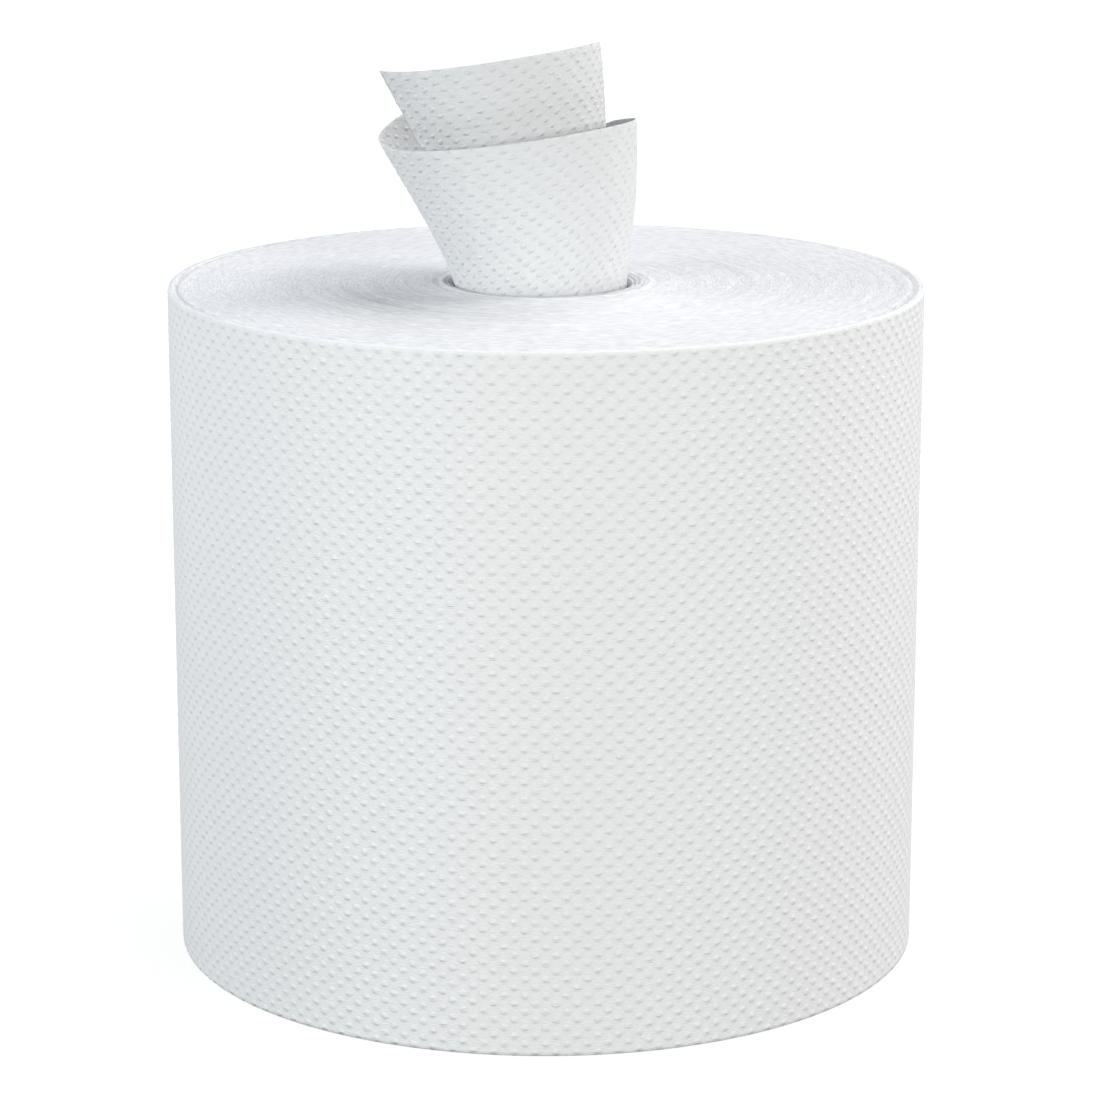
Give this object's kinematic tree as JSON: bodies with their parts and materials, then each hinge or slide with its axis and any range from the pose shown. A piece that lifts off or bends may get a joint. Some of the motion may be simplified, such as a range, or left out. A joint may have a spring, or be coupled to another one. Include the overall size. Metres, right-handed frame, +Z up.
{
  "type": "paper towel roll",
  "caption": "Coreless centre-pull paper towel roll standing on end, with the inner end of its embossed web drawn up out of the open middle as a leaning, flared scroll.",
  "frame": {"origin": "on the roll's axis, on the surface that the roll stands on", "axes": "+Z up along the roll's axis, -Y to the front and +X to the right as the picture shows it"},
  "size_m": [0.2258, 0.226, 0.2744],
  "materials": {
    "paper": "matt, embossed"
  },
  "bodies": {
    "root": {"towel_roll": "paper"}
  },
  "joints": []
}
